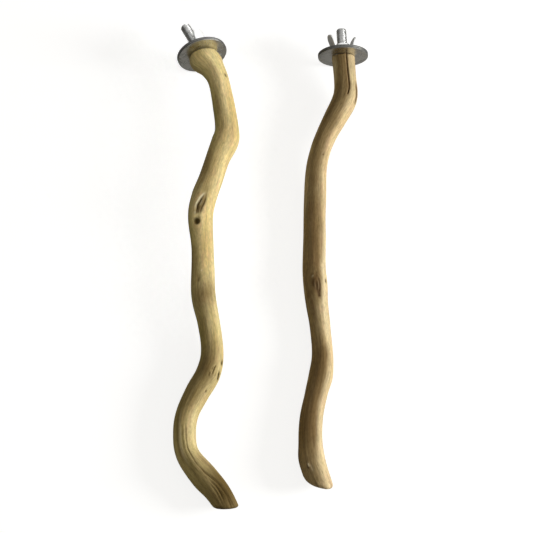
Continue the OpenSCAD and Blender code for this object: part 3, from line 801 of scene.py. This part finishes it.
# Four rounded corners from the hole's lower edge round; the flat faces get points between
def washerProfile(shape):
    half, hole, rim = shape["thickness"] / 2, shape["holeRadius"], shape["radius"]
    corners = [
        (hole, -half, shape["burr"], 180), (rim, -half, shape["rollOver"], 270),
        (rim, half, shape["burr"], 0), (hole, half, shape["rollOver"], 90),
    ]
    points = []
    for index, (x, z, r, start) in enumerate(corners):
        inX, inZ = (1 if x == hole else -1), (1 if z < 0 else -1)
        angles = start + np.linspace(0, 90, shape["arcSteps"])
        points += arcPoints(x + inX * r, z + inZ * r, r, angles)
        nextX = corners[(index + 1) % 4][0]
        if nextX != x:
            points += [(x + (nextX - x) * share, z) for share in (0.2, 0.4, 0.6, 0.8)]
    return points


def buildWasher(branch, place, seed):
    side, shape = branch["side"], washerShape
    node = side + "_" + place + "_washer"
    low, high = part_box(node)
    middle = np.array((low + high) / 2)
    profile, segments = washerProfile(shape), shape["segments"]
    rings = [turnedProfile(profile, 2 * math.pi * k / segments) for k in range(segments)]
    points = np.array(rings).reshape(-1, 3)
    bow, bowTurn, dish, spin = np.random.default_rng(seed).uniform(-1, 1, 4)
    reach = np.hypot(points[:, 0], points[:, 1]) / shape["radius"]
    turn = np.arctan2(points[:, 1], points[:, 0])
    points[:, 2] += shape["waviness"] / 2 * reach * (bow * np.cos(2 * turn + bowTurn) - abs(dish))
    points = standAlong(points, middle, *branch["faceTurn"], shape["spin"] * spin)
    faces = ringFaces(segments, len(profile), closed=True)
    piece = makePiece(side + place.capitalize() + "Washer", points, faces, washerFinish, sharpAngle=40)
    bare = reach * shape["radius"] - (shape["radius"] - shape["bareRim"])
    addAttribute(piece, "cut", "FLOAT", np.clip(bare / shape["bareFade"], 0, 1))
    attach(piece, "perches" if place == "inner" else node)
    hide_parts(node)


# Hanger bolts: a machine thread outside, a plain waist, and a coarse wood thread to the point

boltShape = {
    "radius": 3 * mm, "length": 42 * mm, "point": 5 * mm, "waist": 3 * mm, "waistDepth": 0.35 * mm,
    "pitch": 1 * mm, "threadDepth": 0.6 * mm, "crest": 0.12, "root": 0.22, "runOutPitches": 1.2,
    "woodPitch": 2.6 * mm, "woodDepth": 0.95 * mm, "woodCrest": 0.1, "woodRoot": 0.5,
    "pointDepthShare": 0.3, "tip": 0.4 * mm, "leastRadius": 0.3 * mm, "chamfer": 0.7 * mm,
    "sides": 72, "ringsPerPitch": 14,
    # The dished free end: each ring's share of the last one, and its dip
    "freeEnd": [(0.94, 0.0), (0.6, 0.06 * mm), (0.3, 0.1 * mm), (0.08, 0.12 * mm)],
}


# Depth of a thread's groove, 0 on the crest and 1 at the root, at a share of a turn
def grooveDepth(turn, crest, root):
    distance = np.abs((turn % 1) - 0.5) * 2
    slope = np.clip((distance - crest) / (1 - crest - root), 0, 1)
    return ease(slope) * 0.35 + slope * 0.65


def buildBolt(branch):
    side, shape, stands = branch["side"], boltShape, branch["boltStands"]
    bottom, waistBottom, waistTop = stands - shape["length"], -shape["waist"], -shape["waist"] / 3
    count = int(shape["length"] / shape["pitch"] * shape["ringsPerPitch"])
    height = np.linspace(bottom, stands, count)[:, None]
    turn = (np.arange(shape["sides"]) / shape["sides"])[None, :]
    fine = grooveDepth(height / shape["pitch"] - turn, shape["crest"], shape["root"])
    fineFade = np.clip((height - waistTop) / (shape["runOutPitches"] * shape["pitch"]), 0, 1)
    coarse = grooveDepth(height / shape["woodPitch"] - turn, shape["woodCrest"], shape["woodRoot"])
    coarseFade = np.clip((waistBottom - height) / shape["woodPitch"], 0, 1)
    taper = np.clip((height - bottom) / shape["point"], 0, 1)
    intoWaist = np.minimum(height - waistBottom, waistTop - height) / shape["waistDepth"]
    radius = shape["radius"] - shape["waistDepth"] * np.clip(intoWaist, 0, 1)
    radius = radius - shape["threadDepth"] * fine * fineFade
    coarseDepth = shape["woodDepth"] * coarse * coarseFade
    radius = radius - coarseDepth * np.maximum(taper, shape["pointDepthShare"])
    radius = np.minimum(radius, shape["tip"] + (shape["radius"] - shape["tip"]) * taper)
    chamfer = np.clip(height - (stands - shape["chamfer"]), 0, 1)
    radius = np.maximum(np.minimum(radius, shape["radius"] - chamfer), shape["leastRadius"])
    a = 2 * math.pi * turn
    rings = list(np.stack([radius * np.cos(a), radius * np.sin(a), height + 0 * turn], -1))
    last = rings[-1]
    for share, dip in shape["freeEnd"]:
        rings.append(last * np.array([share, share, 1]) - np.array([0, 0, dip]))
    placed = standAlong(np.concatenate(rings), branch["seat"], *branch["boltTurn"])
    faces = tubeFaces(len(rings), shape["sides"])
    piece = makePiece(side + "HangerBolt", placed, faces, boltFinish, sharpAngle=60)
    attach(piece, "perches")
    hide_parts(side + "_hanger_bolt")


# Wing nuts, pressed from sheet: a clipped base with a drawn collar, and two ears folded up

nutShape = {
    "baseRadius": 5.8 * mm, "sheet": 1 * mm, "bore": 3.02 * mm, "collarRadius": 4.2 * mm,
    "collarHeight": 5.6 * mm, "lip": 0.3 * mm, "fillet": 0.45 * mm, "edge": 0.22 * mm,
    "edgeShare": 0.4, "filletShare": 0.9, "segments": 96, "seatGap": 0.05 * mm,
    # An ear starts inside the collar, folds up and ends in a full round, thinner at its tip
    "earStart": 3.4 * mm, "earRoot": 4.4 * mm, "earWidth": 6.5 * mm, "earReach": 11 * mm,
    "earLean": 18, "bendRadius": 0.5 * mm, "bendSteps": 9, "crown": 0.3 * mm,
    "crownRise": 2 * mm, "straightShares": (0.24, 0.6, 1.0), "tipAngles": (8, 86, 12),
    "tipWidth": 0.8 * mm, "tipThinness": 0.8, "leastWidth": 0.3 * mm,
}


# The base and collar are one ring: under the base, up its edge, in to the collar and down the bore
def nutBody(shape):
    collar, sheet, bore = shape["collarRadius"], shape["sheet"], shape["bore"]
    top, lip, quarter = shape["collarHeight"], shape["lip"], (0, 30, 60, 90)
    rings = []
    for k in range(shape["segments"]):
        a = 2 * math.pi * k / shape["segments"]
        rim = min(shape["baseRadius"], shape["earRoot"] / max(abs(math.cos(a)), 0.05))
        edge = min(shape["edge"], shape["edgeShare"] * (rim - collar))
        fillet = min(shape["fillet"], shape["filletShare"] * (rim - collar - edge))
        profile = [(bore + lip, 0), (rim - edge, 0)]
        profile += arcPoints(rim - edge, edge, edge, (-60, -30, 0))
        profile += arcPoints(rim - edge, sheet - edge, edge, quarter)
        profile += arcPoints(collar + fillet, sheet + fillet, fillet, (270, 240, 210, 180))
        profile += arcPoints(collar - lip, top - lip, lip, quarter)
        profile += [(bore + lip, top), (bore, top - lip), (bore, lip)]
        rings.append(turnedProfile(profile, a))
    return np.array(rings).reshape(-1, 3), ringFaces(len(rings), len(rings[0]), closed=True)


# The line that an ear's strip follows: x, z, tilt and distance past the fold at each section
def earPath(shape):
    sheet, lean = shape["sheet"], math.radians(shape["earLean"])
    bend = math.pi / 2 - lean
    setBack = shape["bendRadius"] * math.tan(bend / 2)
    centreX, centreZ = shape["earRoot"] - setBack, sheet + shape["bendRadius"]
    neutral = shape["bendRadius"] + sheet / 2
    path = [(shape["earStart"], sheet / 2, 0, 0), (centreX, sheet / 2, 0, 0)]
    for b in np.linspace(0, bend, shape["bendSteps"])[1:]:
        path.append((centreX + neutral * math.sin(b), centreZ - neutral * math.cos(b), b, 0))
    footX, footZ = path[-1][:2]
    half = shape["earWidth"] / 2
    straight = shape["earReach"] - setBack - half
    stops = [share * straight for share in shape["straightShares"]]
    stops += [straight + half * math.sin(b) for b in np.radians(np.linspace(*shape["tipAngles"]))]
    path += [(footX + s * math.sin(lean), footZ + s * math.cos(lean), bend, s) for s in stops]
    return path, straight


# One ear: a crowned strip swept out of the base, round the fold and up to a full round end
def nutEar(shape):
    path, straight = earPath(shape)
    half = shape["earWidth"] / 2
    rings = []
    for x, z, tilt, s in path:
        width = math.sqrt(max(half ** 2 - max(s - straight, 0) ** 2, shape["leastWidth"] ** 2))
        thin = shape["sheet"] / 2 * (shape["tipThinness"] if width < shape["tipWidth"] else 1)
        edge = min(shape["edge"], width * shape["edgeShare"])
        section = []
        for inX, inZ, start in ((1, -1, 270), (1, 1, 0), (-1, 1, 90), (-1, -1, 180)):
            angles = start + np.linspace(0, 90, 4)
            section += arcPoints(inX * (width - edge), inZ * (thin - edge), edge, angles)
            if inX == inZ:
                section += [(inX * (width - edge) * share, inZ * thin) for share in (0.5, 0.0, -0.5)]
        crown = shape["crown"] * min(1, s / shape["crownRise"])
        ring = []
        for across, lift in section:
            lift = lift + crown * ((across / half) ** 2 - 0.5)
            ring.append((x - lift * math.sin(tilt), across, z + lift * math.cos(tilt)))
        rings.append(ring)
    return np.array(rings).reshape(-1, 3), tubeFaces(len(rings), len(rings[0]))


def buildNut(branch):
    side, shape = branch["side"], nutShape
    ear, earFaces = nutEar(shape)
    parts = [nutBody(shape), (ear, earFaces), (ear * np.array([-1, -1, 1]), earFaces)]
    points, faces, start = [], [], 0
    for partPoints, partFaces in parts:
        outwards = signedVolume(partPoints, partFaces) > 0
        for face in partFaces:
            face = face if outwards else face[::-1]
            faces.append(tuple(corner + start for corner in face))
        points.append(partPoints)
        start += len(partPoints)
    lean = math.acos(np.clip(np.dot(branch["face"], aimOf(*branch["boltTurn"])), -1, 1))
    stack = 2 * (washerShape["thickness"] + shape["seatGap"])
    seatHeight = (stack + shape["seatGap"]) / math.cos(lean) + shape["baseRadius"] * math.tan(lean)
    points = np.concatenate(points) + np.array([0, 0, seatHeight])
    spun = standAlong(points, branch["seat"], *branch["boltTurn"], branch["nutTurn"])
    piece = makePiece(side + "WingNut", spun, faces, nutFinish, sharpAngle=45)
    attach(piece, side + "_wing_nut")
    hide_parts(side + "_wing_nut")


for branch in (leftBranch, rightBranch):
    buildBranch(branch)
    for seed, place in enumerate(("inner", "outer"), branch["seed"] + 5):
        buildWasher(branch, place, seed)
    buildBolt(branch)
    buildNut(branch)
print("metalwork made")


# Studio: a white floor that keeps a faint shadow, one soft key from the right and a low fill

studio = {
    "floorReach": 4, "floorColour": (0.4, 0.4, 0.4, 1), "floorGlowSeen": 0.83,
    "floorGlowGlossy": 0.04, "fill": (0.235, 0.22, 0.18, 1),
    # Softboxes that only show as reflections, at one side and overhead: the way to each, and the
    # ramp from how near a ray passes to its glow
    "softboxes": [
        ((0.99, 0.1, 0.05), (0.1, 0.55, 0.1, 1.3)), ((-0.1, 0.35, 0.93), (0.45, 0.85, 0.1, 1.1)),
    ],
    "keyAim": Vector((0.93, -0.10, 0.34)), "keyDistance": 1.4, "keySize": 0.45, "keyPower": 19.0,
    # A gridded strip light over the upper part of the left perch
    "stripPlace": Vector((0.30, 0.06, 1.0)), "stripTarget": Vector((-0.05, 0.065, 0.0)),
    "stripSize": (0.05, 0.20), "stripSpread": 4, "stripPower": 0.008,
}
white = (1, 1, 1, 1)


# Rays that have left a shiny or clear surface
def mirrorRays(tree, rays):
    return maths(tree, "MAXIMUM", rays.outputs["Is Glossy Ray"], rays.outputs["Is Transmission Ray"])


def buildFloor():
    reach = studio["floorReach"]
    points = [(-reach, -reach, 0), (reach, -reach, 0), (reach, reach, 0), (-reach, reach, 0)]
    material, tree = newMaterial("paleFloor")
    rays = addNode(tree, "LightPath")
    matt = addNode(tree, "BsdfDiffuse", {"Color": studio["floorColour"]})
    seen = times(tree, rays.outputs["Is Camera Ray"], studio["floorGlowSeen"])
    mirrored = times(tree, mirrorRays(tree, rays), studio["floorGlowGlossy"])
    glow = addNode(tree, "Emission", {"Color": white, "Strength": plus(tree, seen, mirrored)})
    both = addNode(tree, "AddShader", {0: matt.outputs[0], 1: glow.outputs[0]})
    addNode(tree, "OutputMaterial", {"Surface": both.outputs[0]})
    floor = makePiece("floor", points, [(0, 1, 2, 3)], material)


def buildWorld():
    world = bpy.data.worlds.new("studioWorld")
    scene.world = world
    world.use_nodes = True
    tree = world.node_tree
    tree.nodes.clear()
    rays = addNode(tree, "LightPath")
    direction = addNode(tree, "TexCoord").outputs["Generated"]
    side, overhead = (
        remap(tree, vectorMaths(tree, "DOT_PRODUCT", direction, aim), *glow)
        for aim, glow in studio["softboxes"]
    )
    fill = addNode(tree, "Background", {"Color": studio["fill"], "Strength": 1.0})
    reflected = addNode(tree, "Background", {
        "Color": white, "Strength": maths(tree, "MAXIMUM", side, overhead),
    })
    backdrop = addNode(tree, "Background", {"Color": white, "Strength": 1.0})
    unseen = addNode(tree, "MixShader", {
        0: mirrorRays(tree, rays), 1: fill.outputs[0], 2: reflected.outputs[0],
    })
    surface = addNode(tree, "MixShader", {
        0: rays.outputs["Is Camera Ray"], 1: unseen.outputs[0], 2: backdrop.outputs[0],
    })
    addNode(tree, "OutputWorld", {"Surface": surface.outputs[0]})


def addLamp(name, place, target, power, **settings):
    data = bpy.data.lights.new(name, "AREA")
    data.energy = power
    for key, value in settings.items():
        setattr(data, key, value)
    lamp = bpy.data.objects.new(name, data)
    scene.collection.objects.link(lamp)
    lamp.location = place
    lamp.rotation_euler = (place - target).to_track_quat("Z", "Y").to_euler()


def buildLamps():
    keyPlace = studio["keyAim"].normalized() * studio["keyDistance"]
    addLamp("keyLamp", keyPlace, Vector(), studio["keyPower"], shape="DISK", size=studio["keySize"])
    width, length = studio["stripSize"]
    addLamp("stripLamp", studio["stripPlace"], studio["stripTarget"], studio["stripPower"],
            shape="RECTANGLE", size=length, size_y=width, spread=math.radians(studio["stripSpread"]))


# The camera stands in front of the perches and looks steeply down on them

cameraPlace = {
    "lookAt": Vector((-3.83, -9.37, 8)) * mm, "elevation": 64, "distance": 834 * mm, "lens": 100.17,
    "sensor": 36, "nearest": 0.01, "farthest": 50,
}


def buildCamera():
    data = bpy.data.cameras.new("photoCamera")
    data.lens, data.sensor_width = cameraPlace["lens"], cameraPlace["sensor"]
    data.clip_start, data.clip_end = cameraPlace["nearest"], cameraPlace["farthest"]
    camera = bpy.data.objects.new("photoCamera", data)
    scene.collection.objects.link(camera)
    elevation = math.radians(cameraPlace["elevation"])
    back = Vector((0, -math.cos(elevation), math.sin(elevation)))
    camera.location = cameraPlace["lookAt"] + back * cameraPlace["distance"]
    camera.rotation_euler = (math.pi / 2 - elevation, 0, 0)
    scene.camera = camera


buildFloor()
buildWorld()
buildLamps()
buildCamera()
scene.view_settings.view_transform = "Standard"
print("studio made")
